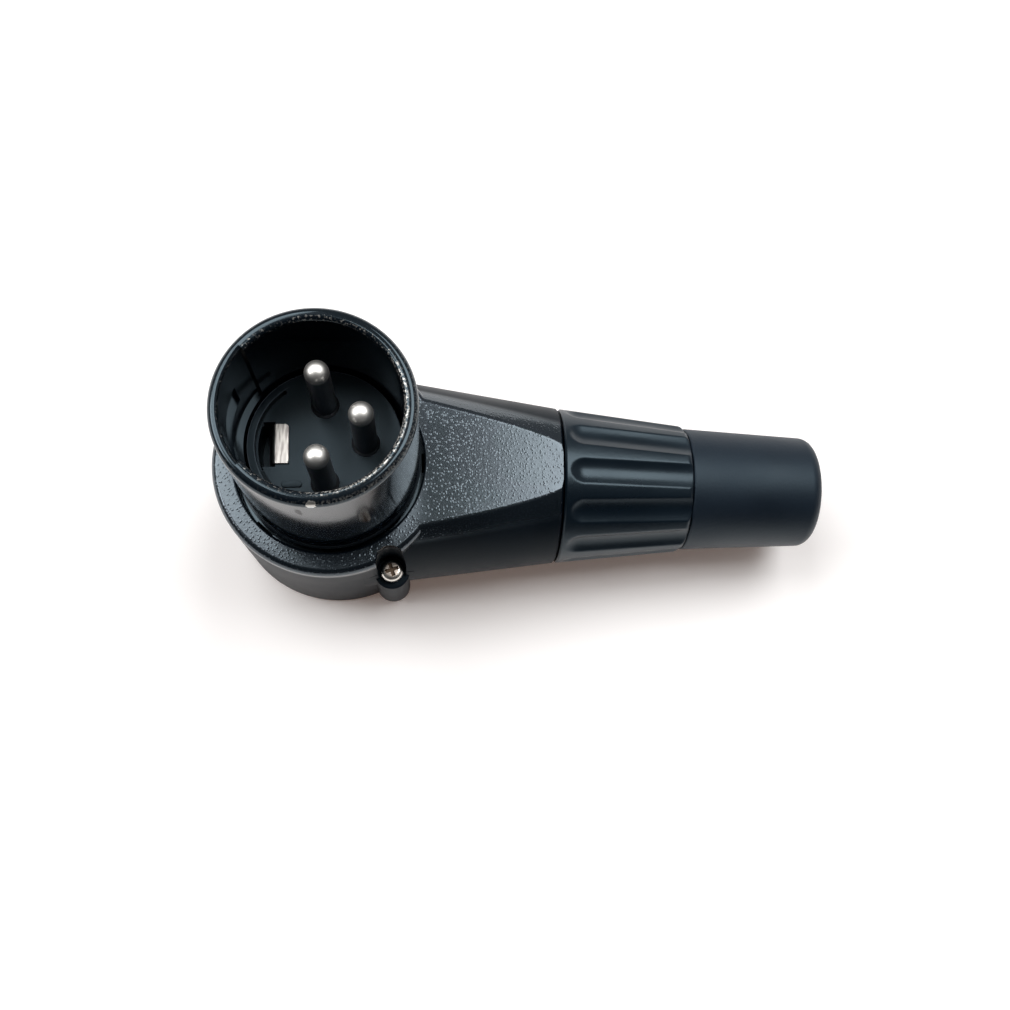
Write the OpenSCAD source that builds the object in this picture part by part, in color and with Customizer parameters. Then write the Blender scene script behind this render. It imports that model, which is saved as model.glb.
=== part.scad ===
// Right-angle three-pin plug: an upright cup with the contacts, a two-part elbow housing held by
// two screws, and a gland ring with its boot that clamps the cable.
// The origin is on the cup's axis at the flat back. +Z points out of the cup, +X along the arm.

/* [Cup] */
// Outside diameter of the cup
cup_d = 19.0; // [18.6:0.1:19.3]
// Bore of the cup
cup_bore_d = 16.3; // [16.1:0.1:16.6]
// Height of the rim above the housing's flat top
cup_h = 18.2; // [16.5:0.1:20]
// Extra thickness of the wall's foot, where it stands in the housing
foot_w = 0.2; // [0.16:0.02:0.24]
// Height of the foot above the housing's flat top, below its sloping edge
foot_rise = 0.15; // [0.1:0.05:0.3]
// Rounding of the rim's outer edge
lip_r = 0.7; // [0.3:0.05:0.8]
// Rounding of the rim's inner edge
mouth_r = 0.45; // [0.2:0.05:0.5]
// Angle that the head stands turned from square, within the play of its notch
head_turn = 2.5; // [-2.5:0.5:2.5]
// Width of the keyway in the cup's wall, as an angle
keyway_angle = 80; // [60:2:90]
// Depth of the keyway into the wall
keyway_depth = 0.35; // [0.2:0.05:0.45]
// Width of the latch pocket in the keyway
catch_w = 6.6; // [5:0.2:7.4]
// Height of the latch pocket
catch_h = 3.4; // [2.5:0.1:4]
// Distance from the rim down to the latch pocket
catch_drop = 4.8; // [4:0.1:6]
// Depth of the latch pocket into the wall
catch_depth = 0.75; // [0.5:0.05:0.8]

/* [Flange] */
// Radius of the flange that the housing holds
flange_r = 10.3; // [10.2:0.05:10.35]
// Thickness of the flange
flange_t = 2.0; // [1.6:0.1:2.2]
// Number of notches for setting the head's direction
notch_count = 8; // [4:4:8]
// Width of a notch in the flange
notch_w = 2.2; // [2.1:0.1:3]
// Depth of a notch in the flange
notch_depth = 0.55; // [0.4:0.05:0.55]

/* [Insert] */
// Gap between the insert and the cup's bore
insert_play = 0.3; // [0.1:0.05:0.4]
// Height of the insert's body above its flange
insert_l = 8.0; // [6:0.1:8.4]
// Radius of the insert's flange
insert_flange_r = 8.8; // [8.6:0.05:9]
// Thickness of the insert's flange
insert_flange_t = 1.0; // [0.8:0.1:1.1]
// Length of the insert's hub behind its flange
hub_l = 3.1; // [2.5:0.1:3.5]
// Wall of the raised ring round the insert's face
face_ring_w = 0.8; // [0.6:0.05:1]
// Width of the curved groove inside that ring
face_groove_w = 0.4; // [0.3:0.05:0.5]
// Depth of the curved groove
face_groove_depth = 1.2; // [0.6:0.1:2]
// Angle that the curved groove covers on each side of the key
face_groove_angle = 55; // [45:1:60]
// Depth of the pocket for the ground contact
pocket_depth = 5.0; // [4:0.1:5.5]
// Length of the raised pin mark
mark_l = 2.05; // [1.5:0.05:2.2]
// Width of the raised pin mark
mark_w = 0.65; // [0.5:0.05:0.8]
// Height of the raised pin mark
mark_h = 0.18; // [0.1:0.02:0.3]
// Distance of the pin mark from the cup's axis, away from the arm
mark_x = 3.3; // [2.9:0.1:3.5]
// Distance of the pin mark from the key's centre line
mark_y = 4.2; // [4:0.1:4.6]
// Thickness of the ring that holds the insert
retainer_t = 0.8; // [0.6:0.1:1.2]
// Inside radius of the ring that holds the insert
retainer_bore_r = 7.4; // [7.3:0.05:7.8]

/* [Contacts] */
// Diameter of the circle that the pins stand on
pin_circle_d = 8.2; // [8:0.05:8.3]
// Diameter of a pin
pin_d = 2.4; // [2.3:0.05:2.5]
// Distance from the rim down to a pin's tip
pin_tip_drop = 2.0; // [1.5:0.1:3]
// Diameter of the pin's root, which fills its hole in the insert
root_d = 2.8; // [2.75:0.05:3]
// Diameter of the collar behind the insert
collar_d = 3.4; // [3:0.1:3.6]
// Thickness of the collar
collar_t = 0.8; // [0.5:0.1:1]
// Outside diameter of a solder cup
bucket_d = 2.8; // [2.75:0.05:2.9]
// Bore of a solder cup
bucket_bore_d = 1.8; // [1.5:0.1:2]
// Length of a solder cup
bucket_l = 3.6; // [3:0.1:4]
// Width of the ground contact's strip
ground_w = 4.1; // [3.6:0.1:4.4]
// Thickness of the strip
ground_t = 0.3; // [0.2:0.05:0.35]
// Distance from the cup's axis to the end of the strip's lap on the face
ground_lap_r = 3.6; // [3.5:0.05:3.8]
// Distance from the cup's axis to the strip's upright leg
ground_leg_r = 5.0; // [4.9:0.05:5.2]
// Reach of the strip's spring bulge into its pocket
ground_bulge = 0.55; // [0.3:0.05:0.8]
// Width of the strip's solder tail
tail_w = 2.2; // [2:0.1:2.6]
// Length of the strip's solder tail below the insert
tail_l = 3.4; // [2.5:0.1:4]

/* [Housing] */
// Radius of the round drum under the cup
drum_r = 12.5; // [12.4:0.05:12.8]
// Distance of the flat top below the crown of the arm's end
facet_drop = 0.33; // [0.2:0.01:0.8]
// Thickness of the top plate
plate_t = 2.0; // [1.8:0.1:2.2]
// Wall of the drum and of the arm
wall = 2.0; // [1.8:0.05:2]
// Rounding of the drum's top edge
ledge_r = 0.9; // [0.5:0.05:1.1]
// Gap between the cup and the hole in the top plate
cup_gap = 0.55; // [0.4:0.05:0.6]
// Gap between the gland ring and the surface that the back rests on
ring_lift = 0.27; // [0.2:0.01:0.5]
// Distance from the cup's axis to the end of the arm
arm_x = 25.1; // [24.5:0.1:27]
// Radius of the arm at its end
arm_r = 8.93; // [8.7:0.05:9.1]
// Radius of the threaded neck over its crests
neck_r = 6.85; // [6.75:0.05:6.9]
// Length of the threaded neck
neck_l = 7.0; // [6.5:0.1:7.4]
// Bore of the neck
neck_bore_r = 5.5; // [5.4:0.05:5.6]
// Radius of the throat that the wires pass through
throat_r = 4.2; // [3.8:0.1:4.6]
// Thickness of the wall that the throat is in
throat_t = 1.6; // [1.2:0.1:2]
// Height of the joint between housing and back cover
seam_z = 6.2; // [5.6:0.1:6.4]
// Distance from the end of the arm back to the back cover's edge
cover_back = 4.1; // [3.8:0.1:5]
// Thickness of the back cover's floor
floor_t = 1.8; // [1.5:0.1:2]
// Wall of the curved support under the head's flange
support_t = 1.0; // [0.8:0.1:1.2]
// Angle on each side of the arm that the support leaves open for the wires
support_open = 72; // [68:1:80]

/* [Ears and screws] */
// Distance of the screws from the cup's axis along the arm
ear_x = 6.75; // [6.6:0.05:7]
// Radius of an ear
ear_r = 1.95; // [1.8:0.05:2.1]
// Height of an ear's top, where the screw's head sits
shelf_z = 11.0; // [10.6:0.1:11.4]
// Height of an ear's lower end
ear_z = 1.6; // [1.2:0.1:2]
// Radius of the upright channel above an ear
channel_r = 1.6; // [1.5:0.05:1.65]
// Diameter of a screw's thread
screw_d = 1.8; // [1.6:0.1:1.8]
// Length of a screw below its head
screw_l = 7.6; // [7:0.1:8]
// Diameter of a screw's head
screw_head_d = 2.5; // [2.4:0.05:2.7]
// Height of a screw's head
screw_head_h = 1.3; // [1:0.05:1.4]
// Width of the cross recess
cross_w = 0.42; // [0.3:0.02:0.5]
// Length of the cross recess
cross_l = 1.5; // [1.2:0.1:1.7]
// Depth of the cross recess
cross_depth = 0.5; // [0.3:0.05:0.6]
// Reach of the short joint lines beside a channel
tick_l = 0.85; // [0.5:0.05:1]
// Height of those joint lines above the arm's axis
tick_z = 2.8; // [2.4:0.1:3.2]
// Width of those joint lines
tick_w = 0.14; // [0.1:0.02:0.2]
// Depth of those joint lines
tick_depth = 0.25; // [0.15:0.05:0.4]

/* [Gland ring] */
// Gap between the arm and the ring when it is screwed home
ring_gap = 0.2; // [0.1:0.05:0.3]
// Length of the ring outside the boot
ring_l = 14.6; // [14:0.1:16]
// Radius of the ring at the boot's end
ring_end_r = 7.3; // [7.2:0.05:7.6]
// Rounding of the ring's end
ring_end_round = 0.7; // [0.4:0.05:0.9]
// Number of grip flutes
flute_count = 12; // [8:1:14]
// Width of a flute
flute_w = 2.9; // [2:0.1:3]
// Depth of a flute
flute_depth = 0.5; // [0.3:0.05:0.6]
// Distance from the ring's edge to the start of the flutes
flute_start = 1.1; // [0.8:0.1:2]
// Turn of the flutes from straight up when the ring is screwed home
flute_turn = 2.7; // [0:0.1:15]
// Radius of the nose that the boot is moulded on
nose_r = 5.9; // [5.7:0.05:6]
// Length of that nose
nose_l = 4.0; // [3:0.1:5]
// Bore of the nose
nose_bore_r = 4.4; // [4.2:0.05:4.6]
// Pitch of the thread between neck and ring
thread_pitch = 1.0; // [0.8:0.1:1.25]
// Depth of the neck's thread
thread_depth = 0.45; // [0.3:0.05:0.5]
// Gap between the thread's crests and the ring's bore
thread_play = 0.05; // [0.02:0.01:0.09]

/* [Chuck] */
// Gap between the chuck and the neck's bore
chuck_play = 0.1; // [0.05:0.01:0.15]
// Length of the chuck's straight part
chuck_l = 8.0; // [7:0.1:8.4]
// Length of the chuck's tapered fingers
finger_l = 4.6; // [4:0.1:5]
// Radius of the fingers at their tips
finger_tip_r = 4.65; // [4.5:0.05:4.8]
// Number of slots between the fingers
slot_count = 6; // [4:1:8]
// Width of a slot
slot_w = 0.8; // [0.5:0.1:1]
// Gap between the fingers and the ring's cone
finger_play = 0.3; // [0.2:0.05:0.4]
// Width of the rib that keeps the chuck from turning
rib_w = 1.4; // [1:0.1:2]
// Height of that rib
rib_h = 0.5; // [0.3:0.05:0.6]

/* [Boot] */
// Length of the boot outside the ring
boot_l = 15.2; // [13:0.1:20]
// Radius of the boot at the ring
boot_r = 7.05; // [6.9:0.05:7.2]
// Radius of the boot at its free end
boot_end_r = 6.3; // [5.8:0.05:6.6]
// Rounding of the boot's free end
boot_round = 1.5; // [0.8:0.1:1.8]
// Diameter of the hole for the cable
cable_hole_d = 7.2; // [6:0.1:8]
// Rounding at the mouth of the cable hole
cable_mouth_r = 0.5; // [0.3:0.1:0.7]

/* [Hidden] */
$fn = 96;

// Overlap that makes a cut pass clean through, and the fit of pieces pressed or sealed together
cut = 0.5;
fit = 0.04;
// Smallest wall left round a channel or a bore
web = 0.7;
// Room round the head's flange
flange_play = 0.1;

// Heights above the back: the arm's axis, the flat top, and the head from its flange up and down
axis_z = arm_r + ring_lift;
ledge_z = axis_z + arm_r - facet_drop;
rim_z = ledge_z + cup_h;
plate_under_z = ledge_z - plate_t;
flange_z = plate_under_z - flange_t;
insert_flange_z = flange_z + retainer_t;
insert_seat_z = insert_flange_z + insert_flange_t;
face_z = insert_seat_z + insert_l;
hub_z = insert_flange_z - hub_l;
cup_r = cup_d / 2;
cup_bore_r = cup_bore_d / 2;
insert_r = cup_bore_r - insert_play;
counterbore_r = insert_flange_r + fit;

// Contacts
pin_r = pin_d / 2;
root_r = root_d / 2;
pin_angles = [-90, 90, 0];
pin_dome_z = rim_z - pin_tip_drop - pin_r;
leg_out_r = ground_leg_r + ground_t;
pocket_r = insert_r - face_ring_w - face_groove_w / 2;

// Arm and gland, measured along the arm
cavity_r = drum_r - wall;
taper = (drum_r - arm_r) / arm_x;
cover_x = arm_x - cover_back;
throat_x = arm_x - throat_t - web;
ring_x = arm_x + ring_gap;
ring_r = arm_r;
ring_end_x = ring_x + ring_l;
nose_x = ring_end_x + nose_l;
ring_bore_r = neck_r + thread_play;
neck_end_x = arm_x + neck_l;
ring_step_x = neck_end_x + 0.5;
chuck_x = throat_x + throat_t + fit;
chuck_r = neck_bore_r - chuck_play;
finger_x = chuck_x + chuck_l;
chuck_end_x = finger_x + finger_l;
boot_x = ring_end_x + fit;
boot_end_x = ring_end_x + boot_l;
cable_r = cable_hole_d / 2;

// The screws stand as close to the arm's axis as the head's flange lets their channels
ear_y = sqrt(pow(flange_r + flange_play + web + channel_r, 2) - pow(ear_x, 2));

// Points of an arc about [x, y], from angle a0 to angle a1 in n steps
function arc(x, y, r, a0, a1, n = 8) =
    [for (i = [0 : n]) let (a = a0 + (a1 - a0) * i / n) [x + r * cos(a), y + r * sin(a)]];

// Radius of the arm's outside at distance x from the cup's axis
function arm_radius(x) = drum_r - taper * x;

// Radius of the chuck's fingers at distance x, and past their ends on the same cone
function finger_radius(x) = chuck_r - (chuck_r - finger_tip_r) * (x - finger_x) / finger_l;

// Turns a shape drawn along Z into one along the arm's axis
module on_arm() {
    translate([0, 0, axis_z]) rotate([0, 90, 0]) children();
}

// Turned shape about the arm's axis: the points are [distance along the arm, radius]
module turned_on_arm(points) {
    on_arm() rotate_extrude() polygon([for (p = points) [p[1], p[0]]]);
}

// Places a shape on both sides of the arm, at the two screws, with its +Y pointing outwards
module at_ears() {
    for (side = [-1, 1]) translate([ear_x, side * ear_y, 0]) rotate([0, 0, 90 - 90 * side]) children();
}

// The key lies on the side away from the arm, and the head is turned as a whole
module on_head() {
    rotate([0, 0, head_turn]) children();
}

// Cup

module cup_wall() {
    rotate_extrude()
        polygon(concat(
            [[cup_bore_r, insert_seat_z], [counterbore_r, insert_seat_z], [counterbore_r, flange_z],
             [flange_r, flange_z], [flange_r, plate_under_z], [cup_r + foot_w, plate_under_z],
             [cup_r + foot_w, ledge_z + foot_rise], [cup_r, ledge_z + foot_rise + foot_w]],
            arc(cup_r - lip_r, rim_z - lip_r, lip_r, 0, 90, 12),
            arc(cup_bore_r + mouth_r, rim_z - mouth_r, mouth_r, 90, 180, 8)));
}

// Sector of a ring about -X, between radii r0 and r1
module key_sector(r0, r1, half_angle, z0, z1) {
    translate([0, 0, z0])
        rotate([0, 0, 180 - half_angle])
            rotate_extrude(angle = 2 * half_angle) translate([r0, 0]) square([r1 - r0, z1 - z0]);
}

module keyway() {
    key_sector(cup_bore_r - cut, cup_bore_r + keyway_depth, keyway_angle / 2, face_z, rim_z + cut);
}

module latch_pocket() {
    intersection() {
        translate([-cup_r, -catch_w / 2, rim_z - catch_drop - catch_h]) cube([cup_r, catch_w, catch_h]);
        cylinder(h = rim_z, r = cup_bore_r + catch_depth);
    }
}

module flange_notches() {
    for (i = [0 : notch_count - 1])
        rotate([0, 0, 360 * i / notch_count])
            translate([flange_r - notch_depth, -notch_w / 2, flange_z - cut])
                cube([notch_depth + cut, notch_w, flange_t + cut]);
}

module male_shell() {
    color([0.03, 0.035, 0.04]) on_head() difference() {
        cup_wall();
        keyway();
        latch_pocket();
        flange_notches();
    }
}

// Insert and what it holds

module insert_body() {
    edge = 0.15;
    rotate_extrude()
        polygon([
            [0, hub_z], [retainer_bore_r - fit, hub_z], [retainer_bore_r - fit, insert_flange_z],
            [insert_flange_r, insert_flange_z], [insert_flange_r, insert_seat_z],
            [insert_r, insert_seat_z], [insert_r, face_z - edge], [insert_r - edge, face_z], [0, face_z]
        ]);
}

module face_groove() {
    r1 = insert_r - face_ring_w;
    key_sector(r1 - face_groove_w, r1, face_groove_angle, face_z - face_groove_depth, face_z + cut);
}

// Pocket beside the ground contact, and the slot that its leg passes through
module ground_pocket() {
    side_play = 0.3;
    half_w = ground_w / 2 + side_play;
    intersection() {
        translate([-pocket_r, -half_w, face_z - pocket_depth])
            cube([pocket_r - ground_leg_r + fit, 2 * half_w, pocket_depth + cut]);
        cylinder(h = face_z + 2 * cut, r = pocket_r);
    }
    translate([-leg_out_r - fit, -ground_w / 2 - fit, hub_z - cut])
        cube([ground_t + 2 * fit, ground_w + 2 * fit, face_z - hub_z + 2 * cut]);
}

// Raised bar beside the first pin, which marks it as number one
module pin_mark() {
    half = (mark_l - mark_w) / 2;
    translate([-mark_x, -mark_y, face_z - cut]) {
        translate([-half, -mark_w / 2, 0]) cube([2 * half, mark_w, mark_h + cut]);
        for (side = [-1, 1])
            translate([side * half, 0, 0]) cylinder(h = mark_h + cut, r = mark_w / 2, $fn = 32);
    }
}

module contact_insert() {
    color([0.05, 0.06, 0.07]) on_head() difference() {
        union() {
            insert_body();
            pin_mark();
        }
        face_groove();
        ground_pocket();
        for (a = pin_angles)
            rotate([0, 0, a]) translate([pin_circle_d / 2, 0, hub_z - cut])
                cylinder(h = face_z - hub_z + 2 * cut, r = root_r + fit);
    }
}

// Threaded ring that holds the insert in the back of the cup, with two slots for its key
module insert_retainer() {
    key_slot_w = 1.2;
    key_slot_depth = 0.4;
    color([0.35, 0.36, 0.38]) on_head() translate([0, 0, flange_z]) difference() {
        cylinder(h = insert_flange_z - flange_z, r = insert_flange_r);
        translate([0, 0, -cut]) cylinder(h = flange_t + 2 * cut, r = retainer_bore_r);
        translate([-key_slot_w / 2, -drum_r, -cut]) cube([key_slot_w, 2 * drum_r, key_slot_depth + cut]);
    }
}

// Pin with a domed tip, a collar against the insert's back and a solder cup cut open on one side
module contact_pin(angle) {
    bucket_floor = 0.4;
    bucket_ring = 1.4;
    collar_z = hub_z - collar_t;
    bucket_z = collar_z - bucket_l;
    color([0.75, 0.75, 0.76]) on_head() rotate([0, 0, angle]) translate([pin_circle_d / 2, 0, 0]) difference() {
        union() {
            rotate_extrude()
                polygon([[0, bucket_z], [bucket_d / 2, bucket_z], [bucket_d / 2, collar_z], [collar_d / 2, collar_z],
                         [collar_d / 2, hub_z], [root_r, hub_z], [root_r, face_z], [pin_r, face_z + root_r - pin_r],
                         [pin_r, pin_dome_z], [0, pin_dome_z]]);
            translate([0, 0, pin_dome_z]) sphere(r = pin_r);
        }
        translate([0, 0, bucket_z - cut]) {
            cylinder(h = bucket_l + cut - bucket_floor, r = bucket_bore_d / 2);
            translate([0, -bucket_d / 2, 0]) cube([bucket_d, bucket_d, bucket_l + cut - bucket_ring]);
        }
    }
}

module contact_pin_1() contact_pin(pin_angles[0]);
module contact_pin_2() contact_pin(pin_angles[1]);
module contact_pin_3() contact_pin(pin_angles[2]);

// Side view of the ground strip: lap on the face, bend, spring bulge and straight leg
module ground_profile() {
    bend = ground_t;
    top = face_z + ground_t;
    bulge_z = face_z - pocket_depth / 2;
    bulge_top_z = face_z - 2 * bend;
    polygon(concat(
        [[-ground_lap_r, top]],
        arc(-leg_out_r + bend, top - bend, bend, 90, 180, 6),
        [[-leg_out_r, bulge_top_z], [-leg_out_r - ground_bulge, bulge_z], [-leg_out_r, face_z - pocket_depth],
         [-leg_out_r, hub_z - tail_l], [-ground_leg_r, hub_z - tail_l], [-ground_leg_r, face_z - pocket_depth],
         [-ground_leg_r - ground_bulge, bulge_z], [-ground_leg_r, bulge_top_z], [-ground_leg_r, face_z],
         [-ground_lap_r, face_z]]));
}

module ground_contact() {
    corner = 0.4;
    tail_shoulder = 0.2;
    tail_hole_r = 0.5;
    tail_hole_z = hub_z - tail_l + 2 * tail_hole_r;
    color([0.75, 0.75, 0.76]) on_head() difference() {
        rotate([90, 0, 0]) translate([0, 0, -ground_w / 2]) linear_extrude(ground_w) ground_profile();
        for (side = [-1, 1]) {
            // The lap's free corners are round
            translate([-ground_lap_r - corner, side * (ground_w / 2 - corner), face_z - cut]) difference() {
                translate([0, side > 0 ? 0 : -2 * corner, 0]) cube([2 * corner, 2 * corner, 2]);
                translate([0, 0, -cut]) cylinder(h = 3, r = corner, $fn = 32);
            }
            // The tail is narrower than the strip
            translate([-leg_out_r - cut, side > 0 ? tail_w / 2 : -ground_w, hub_z - tail_l - cut])
                cube([ground_t + 2 * cut, ground_w - tail_w / 2, tail_l + cut - tail_shoulder]);
        }
        translate([-leg_out_r - cut, 0, tail_hole_z]) rotate([0, 90, 0])
            cylinder(h = ground_t + 2 * cut, r = tail_hole_r, $fn = 32);
    }
}

// Housing

module drum() {
    foot = 0.4;
    rotate_extrude()
        polygon(concat(
            [[0, 0], [drum_r - foot, 0], [drum_r, foot]],
            arc(drum_r - ledge_r, ledge_z - ledge_r, ledge_r, 0, 90, 10),
            [[0, ledge_z]]));
}

// Outside of both housing parts together: the drum and the tapered arm between two flat planes
module elbow_form() {
    edge = 0.2;
    intersection() {
        union() {
            drum();
            turned_on_arm([[0, 0], [0, arm_radius(0)], [arm_x - edge, arm_radius(arm_x - edge)],
                           [arm_x, arm_r - edge], [arm_x, 0]]);
        }
        translate([-2 * drum_r, -2 * drum_r, 0]) cube([4 * drum_r + arm_x, 4 * drum_r, ledge_z]);
    }
}

// Room for the wires and the head's flange, left solid round the screw channels
module wiring_room() {
    post_r = channel_r + web;
    difference() {
        union() {
            translate([0, 0, floor_t]) cylinder(h = plate_under_z - floor_t, r = cavity_r);
            intersection() {
                on_arm() cylinder(h = throat_x, r1 = arm_radius(0) - wall, r2 = arm_radius(throat_x) - wall);
                translate([0, -drum_r, floor_t]) cube([arm_x, 2 * drum_r, plate_under_z - floor_t]);
            }
        }
        at_ears() translate([0, 0, ear_z]) cylinder(h = ledge_z, r = post_r);
    }
}

// Space below the joint, which belongs to the back cover
module cover_space(play) {
    translate([-2 * drum_r, -2 * drum_r, -cut]) cube([2 * drum_r + cover_x + play, 4 * drum_r, seam_z + cut]);
}

module ears(z0, z1) {
    at_ears() translate([0, 0, z0]) cylinder(h = z1 - z0, r = ear_r);
}

// Short lines in the arm's skin beside each channel, where the casting's joint shows
module joint_ticks() {
    x0 = ear_x - channel_r - tick_l;
    x1 = ear_x + channel_r + tick_l;
    intersection() {
        turned_on_arm([[x0, arm_radius(x0) - tick_depth], [x0, arm_radius(x0) + 1],
                       [x1, arm_radius(x1) + 1], [x1, arm_radius(x1) - tick_depth]]);
        translate([x0, -2 * drum_r, axis_z + tick_z - tick_w / 2]) cube([x1 - x0, 4 * drum_r, tick_w]);
    }
}

// Key in the housing that stands in one notch, with play for the head's turn
module flange_key() {
    side_play = 0.55;
    end_play = 0.15;
    key_w = notch_w - 2 * side_play;
    translate([-cavity_r - cut / 2, -key_w / 2, flange_z])
        cube([cavity_r + cut / 2 - flange_r + notch_depth - end_play, key_w, flange_t]);
}

module neck_bore() {
    turned_on_arm([[throat_x - cut, 0], [throat_x - cut, throat_r], [chuck_x - fit, throat_r],
                   [chuck_x - fit, neck_bore_r], [neck_end_x + cut, neck_bore_r], [neck_end_x + cut, 0]]);
}

// Groove in the lower side of the neck's bore, for the chuck's rib
module rib_groove() {
    translate([chuck_x - fit, -rib_w / 2 - 2 * fit, axis_z - neck_bore_r - rib_h])
        cube([neck_end_x - chuck_x + cut, rib_w + 4 * fit, rib_h + cut]);
}

// Threaded neck: a plain collar, then one ridge for each turn of the thread
module neck() {
    edge = 0.4;
    collar_l = 0.9;
    root_r = neck_r - thread_depth;
    thread_x = arm_x + collar_l + thread_depth;
    turns = floor((neck_end_x - 1.2 * edge - thread_x) / thread_pitch);
    turned_on_arm(concat(
        [[arm_x - cut, 0], [arm_x - cut, neck_r], [arm_x + collar_l, neck_r], [thread_x, root_r]],
        [for (i = [1 : turns]) each [[thread_x + (i - 0.5) * thread_pitch, neck_r],
                                     [thread_x + i * thread_pitch, root_r]]],
        [[neck_end_x - edge, root_r], [neck_end_x, root_r - edge], [neck_end_x, 0]]));
}

module elbow_housing() {
    screw_play = 0.1;
    color([0.07, 0.08, 0.09]) {
        difference() {
            union() {
                elbow_form();
                ears(seam_z, shelf_z);
                neck();
            }
            cover_space(fit);
            wiring_room();
            neck_bore();
            rib_groove();
            translate([0, 0, flange_z]) cylinder(h = ledge_z, r = cup_r + cup_gap);
            at_ears() {
                translate([0, 0, shelf_z]) cylinder(h = ledge_z, r = channel_r);
                translate([0, 0, seam_z - cut]) cylinder(h = ledge_z, r = screw_d / 2 + screw_play, $fn = 48);
            }
            joint_ticks();
        }
        flange_key();
    }
}

// Curved wall that holds the head's flange up against the top plate
module flange_support() {
    outer_r = flange_r + flange_play;
    inner_r = outer_r - support_t;
    rotate([0, 0, support_open])
        rotate_extrude(angle = 360 - 2 * support_open)
            polygon([[inner_r, floor_t - cut], [cavity_r + cut, floor_t - cut], [cavity_r + cut, seam_z],
                     [outer_r, seam_z], [outer_r, flange_z], [inner_r, flange_z]]);
}

module back_cover() {
    hole_rest = 0.2;
    color([0.07, 0.08, 0.09]) difference() {
        union() {
            difference() {
                intersection() {
                    elbow_form();
                    cover_space(0);
                }
                wiring_room();
            }
            ears(ear_z, seam_z);
            flange_support();
        }
        at_ears() translate([0, 0, shelf_z - screw_l - hole_rest])
            cylinder(h = screw_l, r = screw_d / 2 + fit, $fn = 48);
    }
}

// Cover screw with a low domed head and a cross recess
module cover_screw() {
    head_r = screw_head_d / 2;
    crown_h = 0.5;
    brim = screw_head_h - crown_h;
    cross_turn = 20;
    difference() {
        union() {
            translate([0, 0, -screw_l]) cylinder(h = screw_l, r = screw_d / 2, $fn = 48);
            rotate_extrude($fn = 48)
                polygon(concat(
                    [[0, 0], [head_r, 0], [head_r, brim]],
                    [for (i = [1 : 6]) [head_r * cos(15 * i), brim + crown_h * sin(15 * i)]]));
        }
        for (a = [0, 90])
            rotate([0, 0, a + cross_turn]) translate([-cross_l / 2, -cross_w / 2, screw_head_h - cross_depth])
                cube([cross_l, cross_w, cross_depth + cut]);
    }
}

module cover_screws() {
    color([0.8, 0.78, 0.75]) at_ears() translate([0, 0, shelf_z]) cover_screw();
}

// Gland

module chuck() {
    inside_r = cable_r + chuck_play;
    root_l = 5;
    rib_l = 4;
    color([0.75, 0.76, 0.74]) {
        difference() {
            turned_on_arm([[chuck_x, inside_r], [chuck_x, chuck_r], [finger_x, chuck_r],
                           [chuck_end_x, finger_tip_r], [chuck_end_x, inside_r]]);
            for (i = [0 : slot_count - 1])
                on_arm() rotate([0, 0, (i + 0.5) * 360 / slot_count])
                    translate([0, -slot_w / 2, chuck_x + root_l]) cube([drum_r, slot_w, chuck_l + finger_l]);
        }
        translate([chuck_x, -rib_w / 2, axis_z - chuck_r - rib_h + 2 * chuck_play])
            cube([rib_l, rib_w, rib_h + cut]);
    }
}

// One grip flute: a round-bottomed groove that runs out at the ring's end
module flute() {
    chord_sag = ring_r - sqrt(ring_r * ring_r - flute_w * flute_w / 4);
    sag = flute_depth - chord_sag;
    cutter_r = (flute_w * flute_w / 4 + sag * sag) / (2 * sag);
    slope = atan((ring_r - ring_end_r) / ring_l);
    start_x = ring_x + flute_start + flute_w / 2;
    start_r = ring_r - (start_x - ring_x) * tan(slope) - flute_depth + cutter_r;
    translate([start_x, 0, start_r]) {
        sphere(r = cutter_r);
        rotate([0, 90 + slope, 0]) cylinder(h = 2 * ring_l, r = cutter_r);
    }
}

module gland_ring() {
    edge = 0.2;
    cone_x = chuck_end_x + finger_play;
    color([0.08, 0.1, 0.12]) difference() {
        turned_on_arm(concat(
            [[ring_x, ring_bore_r], [ring_x, ring_r - edge], [ring_x + edge, ring_r]],
            [for (p = arc(0, 0, ring_end_round, 90, 0, 8))
                [ring_end_x - ring_end_round + p[0], ring_end_r - ring_end_round + p[1]]],
            [[ring_end_x, nose_r], [nose_x, nose_r], [nose_x, nose_bore_r], [cone_x, nose_bore_r],
             [cone_x, finger_radius(cone_x) + finger_play],
             [ring_step_x, finger_radius(ring_step_x) + finger_play], [ring_step_x, ring_bore_r]]));
        translate([0, 0, axis_z]) for (i = [0 : flute_count - 1])
            rotate([flute_turn + 360 * i / flute_count, 0, 0]) flute();
    }
}

module boot() {
    start_edge = 0.25;
    socket_x = nose_x + fit;
    socket_r = nose_r + fit;
    color([0.06, 0.08, 0.1]) turned_on_arm(concat(
        [[boot_x, socket_r], [boot_x, boot_r - start_edge], [boot_x + start_edge, boot_r]],
        [for (p = arc(0, 0, boot_round, 87, 0, 10))
            [boot_end_x - boot_round + p[0], boot_end_r - boot_round + p[1]]],
        [for (p = arc(0, 0, cable_mouth_r, 90, 180, 6))
            [boot_end_x - cable_mouth_r + p[1], cable_r + cable_mouth_r + p[0]]],
        [[socket_x, cable_r], [socket_x, socket_r]]));
}

male_shell();
contact_insert();
insert_retainer();
contact_pin_1();
contact_pin_2();
contact_pin_3();
ground_contact();
elbow_housing();
back_cover();
cover_screws();
chuck();
gland_ring();
boot();
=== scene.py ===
"""Looks of a right-angle three-pin plug: gloss cup, textured elbow housing, fluted gland ring and rubber boot."""
import math

import bmesh
import bpy
from mathutils import Matrix, Vector


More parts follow.
